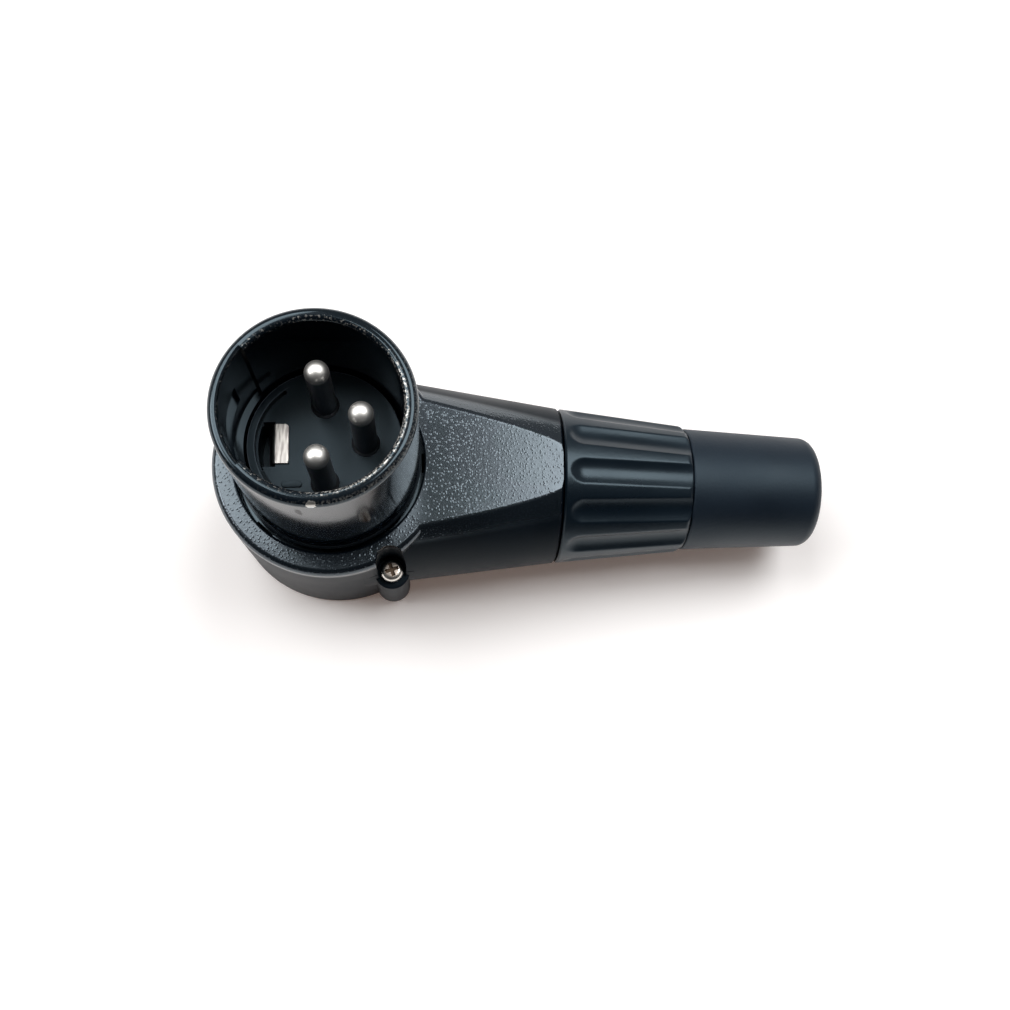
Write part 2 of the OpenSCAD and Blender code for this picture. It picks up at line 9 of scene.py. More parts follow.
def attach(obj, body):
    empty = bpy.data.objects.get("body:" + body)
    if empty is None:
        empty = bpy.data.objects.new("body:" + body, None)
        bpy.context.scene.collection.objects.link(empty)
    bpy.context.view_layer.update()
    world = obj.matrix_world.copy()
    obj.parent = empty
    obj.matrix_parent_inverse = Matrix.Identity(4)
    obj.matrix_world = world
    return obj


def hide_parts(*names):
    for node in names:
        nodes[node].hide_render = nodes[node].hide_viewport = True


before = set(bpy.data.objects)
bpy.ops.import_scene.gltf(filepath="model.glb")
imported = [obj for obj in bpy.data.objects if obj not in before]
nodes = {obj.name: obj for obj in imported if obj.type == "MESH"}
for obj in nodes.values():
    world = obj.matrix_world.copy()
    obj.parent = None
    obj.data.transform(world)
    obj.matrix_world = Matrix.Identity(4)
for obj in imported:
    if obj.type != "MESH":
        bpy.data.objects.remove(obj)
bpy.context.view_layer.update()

# Lengths are in millimetres while a piece is shaped, and become metres when it is placed
MM = 0.001
Z_AXIS = Vector((0, 0, 1))
X_AXIS = Vector((1, 0, 0))

# Heights above the back
AXIS_Z = 9.2
LEDGE_Z = 17.8
PLATE_UNDER_Z = 15.8
FLANGE_Z = 13.8
INSERT_FLANGE_Z = 14.6
INSERT_SEAT_Z = 15.6
FACE_Z = 23.6
HUB_Z = 11.5
RIM_Z = 36.0
SEAM_Z = 6.2
FLOOR_Z = 1.8
FIT = 0.04

# Head
HEAD_TURN = math.radians(2.5)
CUP_R = 9.5
CUP_BORE_R = 8.15
FOOT_W = 0.2
FOOT_TOP_Z = 17.95
COUNTERBORE_R = 8.84
FLANGE_R = 10.3
LIP_R = 0.7
MOUTH_R = 0.45
NOTCH_COUNT = 8
NOTCH_W = 2.2
NOTCH_DEPTH = 0.55
KEYWAY_HALF = math.radians(40)
KEYWAY_R = 8.5
CATCH_W = 6.6
CATCH_TOP_Z = 31.2
CATCH_H = 3.4
CATCH_R = 8.9
INSERT_R = 7.85
INSERT_FLANGE_R = 8.8
HUB_R = 7.36
FACE_RING_R = 7.05
FACE_GROOVE_W = 0.4
FACE_GROOVE_DEPTH = 1.2
FACE_GROOVE_HALF = math.radians(55)
POCKET_DEPTH = 5.0
PIN_CIRCLE_R = 4.1
PIN_R = 1.2
PIN_ROOT_R = 1.4
PIN_ANGLES = {"contact_pin_1": -90, "contact_pin_2": 90, "contact_pin_3": 0}
PIN_TIP_Z = 34.0
GROUND_W = 4.1
GROUND_T = 0.3
GROUND_LAP_R = 3.6
GROUND_LEG_R = 5.0
GROUND_BULGE = 0.55

# Housing
DRUM_R = 12.5
WALL = 2.0
CAVITY_R = 10.5
ARM_X = 25.1
ARM_R = 8.93
TAPER = (DRUM_R - ARM_R) / ARM_X
LEDGE_ROUND = 0.9
RIDGE_ROUND = 1.2
CUP_HOLE_R = 10.05
COVER_X = 21.0
THROAT_X = 22.8
THROAT_R = 4.2
CHUCK_X = 24.44
NECK_BORE_R = 5.5
NECK_R = 6.85
NECK_ROOT_R = 6.4
NECK_END_X = 32.1
THREAD_PITCH = 1.0
EAR_X = 6.75
EAR_Y = 10.757
EAR_R = 1.95
SHELF_Z = 11.0
EAR_LOW_Z = 1.6
CHANNEL_R = 1.6
TICK_Z = 12.0
TICK_W = 0.14
TICK_DEPTH = 0.25
TICK_L = 0.85

# Gland
RING_X = 25.3
RING_END_X = 39.9
RING_R = 8.93
RING_END_R = 7.3
RING_BORE_R = 6.9
NOSE_X = 43.9
NOSE_R = 5.9
NOSE_BORE_R = 4.4
FLUTE_COUNT = 12
FLUTE_W = 2.9
FLUTE_DEPTH = 0.5
FLUTE_START_X = 26.4
FLUTE_TURN = math.radians(2.7)
BOOT_X = 39.94
BOOT_END_X = 55.1
BOOT_R = 7.05
BOOT_END_R = 6.3
CABLE_R = 3.6


# Camera: the photograph's place and direction, worked out from the rim, the pins, the ring and the boot

def make_camera():
    data = bpy.data.cameras.new("camera")
    data.sensor_width = 36
    data.lens = 37.56
    data.clip_start = 0.01
    data.clip_end = 20
    camera = bpy.data.objects.new("camera", data)
    bpy.context.scene.collection.objects.link(camera)
    look = Vector((0.0749, 0.2375, -0.9685)).normalized()
    right = Vector((0.9969, 0.0053, 0.0784))
    right = (right - right.dot(look) * look).normalized()
    up = right.cross(look)
    turn = Matrix((right, up, -look)).transposed()
    camera.matrix_world = Matrix.Translation(Vector((10.314, -31.276, 126.889)) * MM) @ turn.to_4x4()
    bpy.context.scene.camera = camera


# Shaping tools

def rounded(corners, steps=6):
    """Outline through corners, each given as (x, y) or (x, y, radius of its rounding)."""
    points = []
    count = len(corners)
    for i, corner in enumerate(corners):
        here = Vector(corner[:2])
        if len(corner) == 2 or i in (0, count - 1):
            points.append(here)
            continue
        radius = corner[2]
        before = (Vector(corners[i - 1][:2]) - here).normalized()
        after = (Vector(corners[i + 1][:2]) - here).normalized()
        half = before.angle(after) / 2
        centre = here + (before + after).normalized() * radius / math.sin(half)
        start = here + before * radius / math.tan(half) - centre
        end = here + after * radius / math.tan(half) - centre
        sweep = start.angle_signed(end)
        for k in range(steps + 1):
            a = -sweep * k / steps
            points.append(centre + Vector((start.x * math.cos(a) - start.y * math.sin(a),
                                           start.x * math.sin(a) + start.y * math.cos(a))))
    return points


def turned(profile, along=Z_AXIS, centre=Vector((0, 0, 0)), steps=144, closed=True):
    """Solid turned about an axis through centre. The profile is a list of (radius, distance along the axis)."""
    bm = bmesh.new()
    out = X_AXIS if along == Z_AXIS else Z_AXIS
    verts = [bm.verts.new(centre + out * max(p[0], 0) + along * p[1]) for p in profile]
    pairs = list(zip(verts, verts[1:])) + ([(verts[-1], verts[0])] if closed else [])
    edges = [bm.edges.new(pair) for pair in pairs]
    bmesh.ops.spin(bm, geom=verts + edges, cent=centre, axis=along, angle=2 * math.pi, steps=steps, use_merge=True)
    tidy(bm)
    return bm


def tidy(bm):
    bmesh.ops.remove_doubles(bm, verts=bm.verts, dist=1e-4)
    bmesh.ops.dissolve_degenerate(bm, edges=bm.edges, dist=1e-5)
    bmesh.ops.recalc_face_normals(bm, faces=bm.faces)


def about_arm(profile, steps=144, closed=True):
    """Solid turned about the arm's axis. The profile is a list of (distance along the arm, radius)."""
    return turned([(p[1], p[0]) for p in profile], X_AXIS, Vector((0, 0, AXIS_Z)), steps, closed)


def block(low, high):
    bm = bmesh.new()
    low, high = Vector(low), Vector(high)
    bmesh.ops.create_cube(bm, size=1)
    bmesh.ops.scale(bm, vec=high - low, verts=bm.verts)
    bmesh.ops.translate(bm, vec=(low + high) / 2, verts=bm.verts)
    return bm


def rod(place, radius, low, high, steps=64, edge=0.0):
    """Upright cylinder at place (x, y), with its top edge rounded by edge."""
    profile = rounded([(0, low), (radius, low), (radius, high, edge), (0, high)] if edge
                      else [(0, low), (radius, low), (radius, high), (0, high)])
    return turned(profile, centre=Vector((place[0], place[1], 0)), steps=steps)


def moved(bm, matrix):
    bmesh.ops.transform(bm, matrix=matrix, verts=bm.verts)
    return bm


def turned_by(bm, angle, axis="Z", centre=Vector((0, 0, 0))):
    matrix = Matrix.Translation(centre) @ Matrix.Rotation(angle, 4, axis) @ Matrix.Translation(-centre)
    return moved(bm, matrix)


def extruded(points, low, high):
    """Prism on an outline in the XZ plane, from y = low to y = high."""
    bm = bmesh.new()
    verts = [bm.verts.new((p[0], low, p[1])) for p in points]
    face = bm.faces.new(verts)
    made = bmesh.ops.extrude_face_region(bm, geom=[face])
    far = [g for g in made["geom"] if isinstance(g, bmesh.types.BMVert)]
    bmesh.ops.translate(bm, vec=(0, high - low, 0), verts=far)
    bmesh.ops.recalc_face_normals(bm, faces=bm.faces)
    return bm


def object_of(bm, name):
    mesh = bpy.data.meshes.new(name)
    bm.to_mesh(mesh)
    bm.free()
    made = bpy.data.objects.new(name, mesh)
    bpy.context.scene.collection.objects.link(made)
    return made


def applied(piece):
    """The piece with its modifiers made part of its mesh."""
    shape = piece.evaluated_get(bpy.context.evaluated_depsgraph_get())
    mesh = bpy.data.meshes.new_from_object(shape)
    piece.modifiers.clear()
    old = piece.data
    piece.data = mesh
    bpy.data.meshes.remove(old)
    return piece


def combined(piece, shapes, operation="DIFFERENCE"):
    """The piece with each shape cut away from it, or joined to it with operation UNION."""
    for number, bm in enumerate(shapes):
        other = object_of(bm, f"{piece.name}_shape_{number}")
        tool = piece.modifiers.new("shape", "BOOLEAN")
        tool.object = other
        tool.operation = operation
        tool.solver = "MANIFOLD"
        applied(piece)
        bpy.data.objects.remove(other)
    return piece


def shaded(piece, sharp_angle=38):
    """Smooth faces with sharp edges where they meet at more than sharp_angle degrees."""
    bm = bmesh.new()
    bm.from_mesh(piece.data)
    bmesh.ops.remove_doubles(bm, verts=bm.verts, dist=2e-4)
    bmesh.ops.dissolve_degenerate(bm, edges=bm.edges, dist=1e-4)
    for face in bm.faces:
        face.smooth = True
    for edge in bm.edges:
        edge.smooth = len(edge.link_faces) == 2 and edge.calc_face_angle(0) < math.radians(sharp_angle)
    bm.to_mesh(piece.data)
    bm.free()
    return piece


def placed(piece, body, slot, material, *replaced, weighted=True):
    """The piece in metres, with its finish, riding on its body and standing for its CAD nodes."""
    piece.data.transform(Matrix.Scale(MM, 4))
    if weighted:
        tool = piece.modifiers.new("weighted", "WEIGHTED_NORMAL")
        tool.keep_sharp = True
        tool.weight = 80
        applied(piece)
    piece.data.materials.clear()
    piece.data.materials.append(material)
    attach(piece, body)
    if replaced:
        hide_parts(*replaced)
    return piece


# Material tools

COOL = (0.68, 0.88, 1.0, 1)


def new_material(name, color, roughness, metallic=0.0, specular=0.5, tint=(1, 1, 1, 1)):
    material = bpy.data.materials.new(name)
    material.use_nodes = True
    shader = material.node_tree.nodes["Principled BSDF"]
    shader.inputs["Base Color"].default_value = (*color, 1)
    shader.inputs["Roughness"].default_value = roughness
    shader.inputs["Metallic"].default_value = metallic
    shader.inputs["Specular IOR Level"].default_value = specular
    shader.inputs["Specular Tint"].default_value = tint
    return material, shader


def add(tree, kind, place=(0, 0), **values):
    node = tree.nodes.new(kind)
    node.location = place
    for key, value in values.items():
        setattr(node, key, value)
    return node


def number(tree, operation, a, b=None, clamp=False):
    """Math node: a and b are sockets or plain numbers."""
    node = add(tree, "ShaderNodeMath", operation=operation, use_clamp=clamp)
    for i, value in enumerate((a, b)):
        if value is None:
            continue
        if isinstance(value, (int, float)):
            node.inputs[i].default_value = value
        else:
            tree.links.new(value, node.inputs[i])
    return node.outputs[0]


def in_range(tree, value, low, high, start=0.0, end=1.0):
    node = add(tree, "ShaderNodeMapRange", interpolation_type="SMOOTHSTEP")
    tree.links.new(value, node.inputs["Value"])
    node.inputs["From Min"].default_value = low
    node.inputs["From Max"].default_value = high
    node.inputs["To Min"].default_value = start
    node.inputs["To Max"].default_value = end
    return node.outputs["Result"]


def blended(tree, mask, first, second):
    node = add(tree, "ShaderNodeMix", data_type="RGBA")
    tree.links.new(mask, node.inputs["Factor"])
    for socket, value in ((node.inputs[6], first), (node.inputs[7], second)):
        if isinstance(value, tuple):
            socket.default_value = (*value, 1)
        else:
            tree.links.new(value, socket)
    return node.outputs[2]


def grain_group():
    """Grain of a moulded or painted surface: a fine height, and slow changes of tone."""
    group = bpy.data.node_groups.new("surface grain", "ShaderNodeTree")
    face = group.interface
    for name, value in (("Grain Scale", 1500.0), ("Patch Scale", 120.0)):
        socket = face.new_socket(name=name, in_out="INPUT", socket_type="NodeSocketFloat")
        socket.default_value = value
    for name in ("Height", "Patches", "Speckle"):
        face.new_socket(name=name, in_out="OUTPUT", socket_type="NodeSocketFloat")
    given = add(group, "NodeGroupInput", (-800, 0))
    out = add(group, "NodeGroupOutput", (600, 0))
    place = add(group, "ShaderNodeTexCoord", (-800, 300))
    fine = add(group, "ShaderNodeTexNoise", (-400, 300))
    fine.inputs["Detail"].default_value = 3.0
    fine.inputs["Roughness"].default_value = 0.45
    slow = add(group, "ShaderNodeTexNoise", (-400, 0))
    slow.inputs["Detail"].default_value = 4.0
    dots = add(group, "ShaderNodeTexVoronoi", (-400, -300), feature="SMOOTH_F1")
    dots.inputs["Smoothness"].default_value = 0.5
    for node, name in ((fine, "Grain Scale"), (slow, "Patch Scale"), (dots, "Grain Scale")):
        group.links.new(place.outputs["Object"], node.inputs["Vector"])
        group.links.new(given.outputs[name], node.inputs["Scale"])
    group.links.new(fine.outputs["Fac"], out.inputs["Height"])
    group.links.new(slow.outputs["Fac"], out.inputs["Patches"])
    group.links.new(dots.outputs["Distance"], out.inputs["Speckle"])
    return group


def with_grain(material, shader, group, grain, patch, depth, roughness, tones=None):
    """Bump from the grain, and roughness (and tone) that change slowly over the surface."""
    tree = material.node_tree
    surface = add(tree, "ShaderNodeGroup", (-900, 0), node_tree=group)
    surface.inputs["Grain Scale"].default_value = grain
    surface.inputs["Patch Scale"].default_value = patch
    bump = add(tree, "ShaderNodeBump", (-300, -300))
    bump.inputs["Strength"].default_value = 1.0
    bump.inputs["Distance"].default_value = depth * MM
    tree.links.new(surface.outputs["Height"], bump.inputs["Height"])
    tree.links.new(bump.outputs["Normal"], shader.inputs["Normal"])
    rough = in_range(tree, surface.outputs["Patches"], 0.3, 0.7, *roughness)
    tree.links.new(rough, shader.inputs["Roughness"])
    if tones:
        mask = in_range(tree, surface.outputs["Patches"], 0.35, 0.65)
        tree.links.new(blended(tree, mask, *tones), shader.inputs["Base Color"])
    return surface, bump


def textured_paint(group):
    """Satin paint whose orange-peel texture is coarsest and glossiest on the flat top."""
    material, shader = new_material("textured_paint", (0.0022, 0.0045, 0.0075), 0.3, specular=0.7, tint=COOL)
    surface, bump = with_grain(material, shader, group, 3000, 90, 0.015, (0.40, 0.48),
                               ((0.0018, 0.0038, 0.0065), (0.0028, 0.0055, 0.009)))
    tree = material.node_tree
    place = add(tree, "ShaderNodeTexCoord", (-1300, -200))
    split = add(tree, "ShaderNodeSeparateXYZ", (-1100, -200))
    tree.links.new(place.outputs["Object"], split.inputs[0])
    top = in_range(tree, split.outputs["Z"], 15.9 * MM, 17.0 * MM)
    texture = in_range(tree, top, 0, 1, 0.25, 1.0)
    bumps = in_range(tree, surface.outputs["Speckle"], 0.08, 0.42, 0.8, 0.0)
    relief = number(tree, "ADD", number(tree, "MULTIPLY", surface.outputs["Height"], 0.45), bumps)
    tree.links.new(number(tree, "MULTIPLY", relief, texture), bump.inputs["Height"])
    smooth = in_range(tree, surface.outputs["Patches"], 0.3, 0.7, 0.17, 0.23)
    satin = in_range(tree, surface.outputs["Patches"], 0.3, 0.7, 0.40, 0.48)
    rough = add(tree, "ShaderNodeMix", data_type="FLOAT")
    tree.links.new(top, rough.inputs["Factor"])
    tree.links.new(satin, rough.inputs[2])
    tree.links.new(smooth, rough.inputs[3])
    tree.links.new(rough.outputs[0], shader.inputs["Roughness"])
    tree.links.new(in_range(tree, top, 0, 1, 0.10, 1.0), shader.inputs["Specular IOR Level"])
    tree.links.new(blended(tree, top, COOL[:3], (0.76, 0.90, 1.0)), shader.inputs["Specular Tint"])
    return material


def gloss_paint(group):
    """Gloss paint, worn to the bare metal along the rim, most of all on the side by the arm."""
    paint = (0.0018, 0.0035, 0.006)
    material, shader = new_material("gloss_paint", paint, 0.1, specular=0.5, tint=COOL)
    surface, bump = with_grain(material, shader, group, 700, 60, 0.004, (0.08, 0.14))
    tree = material.node_tree
    place = add(tree, "ShaderNodeTexCoord", (-1900, -600))
    split = add(tree, "ShaderNodeSeparateXYZ", (-1700, -600))
    tree.links.new(place.outputs["Object"], split.inputs[0])
    level = add(tree, "ShaderNodeCombineXYZ", (-1500, -500))
    tree.links.new(split.outputs["X"], level.inputs[0])
    tree.links.new(split.outputs["Y"], level.inputs[1])
    out = add(tree, "ShaderNodeVectorMath", (-1300, -500), operation="LENGTH")
    tree.links.new(level.outputs[0], out.inputs[0])
    rim = in_range(tree, split.outputs["Z"], 35.2 * MM, 35.7 * MM)
    outer = in_range(tree, out.outputs["Value"], 8.95 * MM, 9.3 * MM)
    inner = in_range(tree, out.outputs["Value"], 8.75 * MM, 8.4 * MM)
    edges = number(tree, "MAXIMUM", number(tree, "MULTIPLY", outer, 0.2), inner)
    edges = number(tree, "MULTIPLY", edges, rim)
    side = number(tree, "SUBTRACT", split.outputs["X"], number(tree, "MULTIPLY", split.outputs["Y"], 0.6))
    side = in_range(tree, side, 1.5 * MM, 9 * MM)
    specks = add(tree, "ShaderNodeTexNoise", (-1300, -900))
    specks.inputs["Scale"].default_value = 4400
    specks.inputs["Detail"].default_value = 3
    tree.links.new(place.outputs["Object"], specks.inputs["Vector"])
    worn = number(tree, "ADD", specks.outputs["Fac"], number(tree, "MULTIPLY", side, 0.13))
    bare = number(tree, "MULTIPLY", in_range(tree, worn, 0.54, 0.86), edges)
    nib = add(tree, "ShaderNodeVectorMath", (-1300, -1200), operation="DISTANCE")
    tree.links.new(place.outputs["Object"], nib.inputs[0])
    nib.inputs[1].default_value = (0.2 * MM, -9.4 * MM, 35.7 * MM)
    spot = number(tree, "SUBTRACT", nib.outputs["Value"], number(tree, "MULTIPLY", specks.outputs["Fac"], 0.4 * MM))
    bare = number(tree, "MAXIMUM", bare, in_range(tree, spot, 0.30 * MM, 0.22 * MM))
    tree.links.new(blended(tree, bare, paint, (0.62, 0.6, 0.56)), shader.inputs["Base Color"])
    tree.links.new(bare, shader.inputs["Metallic"])
    flat = add(tree, "ShaderNodeVectorMath", (-1500, -1500), operation="MULTIPLY")
    flat.inputs[1].default_value = (1, 1, 0.3)
    tree.links.new(place.outputs["Object"], flat.inputs[0])
    scratch = add(tree, "ShaderNodeVectorMath", (-1300, -1500), operation="DISTANCE")
    scratch.inputs[1].default_value = (-1.1 * MM, -9.43 * MM, 33.2 * 0.3 * MM)
    tree.links.new(flat.outputs[0], scratch.inputs[0])
    torn = number(tree, "SUBTRACT", scratch.outputs["Value"], number(tree, "MULTIPLY", specks.outputs["Fac"], 0.5 * MM))
    dull = in_range(tree, torn, 0.02 * MM, 0.12 * MM, 0.06, 0.5)
    tree.links.new(dull, shader.inputs["Specular IOR Level"])
    smooth = in_range(tree, surface.outputs["Patches"], 0.3, 0.7, 0.08, 0.14)
    rough = add(tree, "ShaderNodeMix", (-300, -700), data_type="FLOAT")
    tree.links.new(bare, rough.inputs["Factor"])
    tree.links.new(smooth, rough.inputs[2])
    rough.inputs[3].default_value = 0.35
    tree.links.new(rough.outputs[0], shader.inputs["Roughness"])
    return material


def screw_finish(group):
    """Bright steel, browner toward the head's centre, with painted shade darkening the cross recess."""
    material, shader = new_material("screw_steel", (0.72, 0.69, 0.64), 0.26, 1)
    with_grain(material, shader, group, 2500, 80, 0.004, (0.22, 0.34))
    tree = material.node_tree
    place = add(tree, "ShaderNodeTexCoord", (-1300, -600))
    split = add(tree, "ShaderNodeSeparateXYZ", (-1100, -600))
    tree.links.new(place.outputs["Object"], split.inputs[0])
    along = number(tree, "SUBTRACT", split.outputs["X"], EAR_X * MM)
    across = number(tree, "SUBTRACT", number(tree, "ABSOLUTE", split.outputs["Y"]), EAR_Y * MM)
    out = number(tree, "SQRT", number(tree, "ADD", number(tree, "POWER", along, 2), number(tree, "POWER", across, 2)))
    middle = in_range(tree, out, 0.95 * MM, 0.7 * MM)
    # the head's steel turns browner toward its centre
    browner_centre = blended(tree, number(tree, "MULTIPLY", middle, 0.4), (0.72, 0.69, 0.64), (0.36, 0.22, 0.13))
    # painted shade: down in the cross recess the base colour turns dark brown and less metallic
    low = in_range(tree, split.outputs["Z"], (SHELF_Z + 1.3 - 0.04) * MM, (SHELF_Z + 1.3 - 0.2) * MM)
    recess_shade = number(tree, "MULTIPLY", middle, low)
    tree.links.new(blended(tree, recess_shade, browner_centre, (0.16, 0.10, 0.06)), shader.inputs["Base Color"])
    tree.links.new(in_range(tree, recess_shade, 0, 1, 1, 0.35), shader.inputs["Metallic"])
    return material


def insert_finish(group):
    """Moulded black plastic, with a painted highlight of lighter grey along its edge and the edge of its face ring."""
    black, highlight_grey = (0.0028, 0.0055, 0.0085), (0.085, 0.105, 0.125)
    material, shader = new_material("insert_plastic", black, 0.36, specular=0.36, tint=COOL)
    with_grain(material, shader, group, 2600, 80, 0.006, (0.30, 0.42))
    tree = material.node_tree
    place = add(tree, "ShaderNodeTexCoord", (-1300, -600))
    split = add(tree, "ShaderNodeSeparateXYZ", (-1100, -600))
    tree.links.new(place.outputs["Object"], split.inputs[0])
    out = number(tree, "SQRT", number(tree, "ADD", number(tree, "POWER", split.outputs["X"], 2),
                                      number(tree, "POWER", split.outputs["Y"], 2)))
    rim = in_range(tree, out, (INSERT_R - 0.15) * MM, (INSERT_R - 0.08) * MM)
    ring = in_range(tree, out, (FACE_RING_R - 0.02) * MM, (FACE_RING_R + 0.02) * MM)
    ring = number(tree, "MULTIPLY", ring, in_range(tree, out, (FACE_RING_R + 0.11) * MM, (FACE_RING_R + 0.07) * MM))
    ring = number(tree, "MULTIPLY", ring, in_range(tree, split.outputs["X"], -3.6 * MM, -4.6 * MM, 0.0, 0.6))
    # painted highlight: lighter grey along the insert's edge and the left part of its face ring's edge
    edge = number(tree, "MULTIPLY", number(tree, "MAXIMUM", rim, ring),
                  in_range(tree, split.outputs["Z"], (FACE_Z - 0.25) * MM, (FACE_Z - 0.12) * MM))
    tree.links.new(blended(tree, edge, black, highlight_grey), shader.inputs["Base Color"])
    return material


def pin_finish(group):
    """Bright plating on the domes, with painted shade darkening the shafts below them."""
    material, shader = new_material("contact_plating", (0.88, 0.86, 0.82), 0.43, 1)
    with_grain(material, shader, group, 3000, 80, 0.003, (0.39, 0.47))
    tree = material.node_tree
    place = add(tree, "ShaderNodeTexCoord", (-1300, -600))
    split = add(tree, "ShaderNodeSeparateXYZ", (-1100, -600))
    tree.links.new(place.outputs["Object"], split.inputs[0])
    dome = in_range(tree, split.outputs["Z"], 32.5 * MM, 33.1 * MM)
    # painted shade: the shafts' base colour is dark grey below the domes
    tree.links.new(blended(tree, dome, (0.22, 0.23, 0.25), (0.94, 0.92, 0.88)), shader.inputs["Base Color"])
    return material


def strip_finish(group):
    """Duller plating of the ground strip, rubbed in fine lines across its width."""
    material, shader = new_material("contact_plating_rubbed", (0.42, 0.40, 0.38), 0.3, 1)
    with_grain(material, shader, group, 3000, 80, 0.003, (0.26, 0.36))
    tree = material.node_tree
    place = add(tree, "ShaderNodeTexCoord", (-1300, -600))
    longer = add(tree, "ShaderNodeVectorMath", (-1100, -600), operation="MULTIPLY")
    longer.inputs[1].default_value = (1, 0.12, 1)
    tree.links.new(place.outputs["Object"], longer.inputs[0])
    lines = add(tree, "ShaderNodeTexNoise", (-900, -600))
    lines.inputs["Scale"].default_value = 3600
    lines.inputs["Detail"].default_value = 3
    tree.links.new(longer.outputs[0], lines.inputs["Vector"])
    mask = in_range(tree, lines.outputs["Fac"], 0.35, 0.65)
    tree.links.new(blended(tree, mask, (0.24, 0.22, 0.21), (0.5, 0.48, 0.45)), shader.inputs["Base Color"])
    return material


def plain_finish(name, group, color, roughness, metallic, grain, depth, spread=0.06, lift=1.3, specular=0.5,
                 tint=(1, 1, 1, 1)):
    material, shader = new_material(name, color, roughness, metallic, specular, tint)
    light = tuple(min(c * lift, 1.0) for c in color)
    with_grain(material, shader, group, grain, 80, depth, (roughness - spread, roughness + spread), (color, light))
    return material


# Pieces of the head

def ring_sector(r0, r1, half, low, high, flare=0.0):
    """Sector of a ring about -X, whose outer corner can flare out at the top."""
    bm = bmesh.new()
    top = [(r1, high - flare)]
    if flare:
        for k in range(1, 9):
            a = math.pi / 2 * k / 8
            top.append((r1 + flare * (1 - math.cos(a)), high - flare + flare * math.sin(a)))
        top.append((r1 + flare, high + 1))
        top.append((r0, high + 1))
    else:
        top += [(r0, high)]
    points = [(r0, low), (r1, low)] + top
    verts = [bm.verts.new((-p[0], 0, p[1])) for p in points]
    face = bm.faces.new(verts)
    bmesh.ops.rotate(bm, cent=(0, 0, 0), matrix=Matrix.Rotation(-half, 3, "Z"), verts=bm.verts)
    bmesh.ops.spin(bm, geom=[face], cent=(0, 0, 0), axis=Z_AXIS, angle=2 * half, steps=48)
    bmesh.ops.recalc_face_normals(bm, faces=bm.faces)
    return bm


def make_cup(material):
    profile = rounded([
        (CUP_BORE_R, INSERT_SEAT_Z), (COUNTERBORE_R, INSERT_SEAT_Z), (COUNTERBORE_R, FLANGE_Z),
        (FLANGE_R, FLANGE_Z, 0.15), (FLANGE_R, PLATE_UNDER_Z, 0.15), (CUP_R + FOOT_W, PLATE_UNDER_Z),
        (CUP_R + FOOT_W, FOOT_TOP_Z, 0.05), (CUP_R, FOOT_TOP_Z + FOOT_W, 0.1),
        (CUP_R, RIM_Z, LIP_R), (CUP_BORE_R, RIM_Z, MOUTH_R), (CUP_BORE_R, INSERT_SEAT_Z + 1)], 8)
    cup = object_of(turned(profile, steps=192), "cup")
    cuts = [ring_sector(CUP_BORE_R - 1, KEYWAY_R, KEYWAY_HALF, FACE_Z, RIM_Z, MOUTH_R)]
    latch = object_of(block((-CUP_R - 1, -CATCH_W / 2, CATCH_TOP_Z - CATCH_H), (0, CATCH_W / 2, CATCH_TOP_Z)), "latch")
    combined(latch, [rod((0, 0), CATCH_R, 20, 34, 192)], "INTERSECT")
    bm = bmesh.new()
    bm.from_mesh(latch.data)
    cuts.append(bm)
    bpy.data.objects.remove(latch)
    for i in range(NOTCH_COUNT):
        notch = block((FLANGE_R - NOTCH_DEPTH, -NOTCH_W / 2, FLANGE_Z - 1), (FLANGE_R + 1, NOTCH_W / 2, PLATE_UNDER_Z))
        cuts.append(turned_by(notch, 2 * math.pi * i / NOTCH_COUNT))
    combined(cup, cuts)
    cup.data.transform(Matrix.Rotation(HEAD_TURN, 4, "Z"))
    return placed(shaded(cup, 34), "root", "gloss_paint", material, "male_shell")


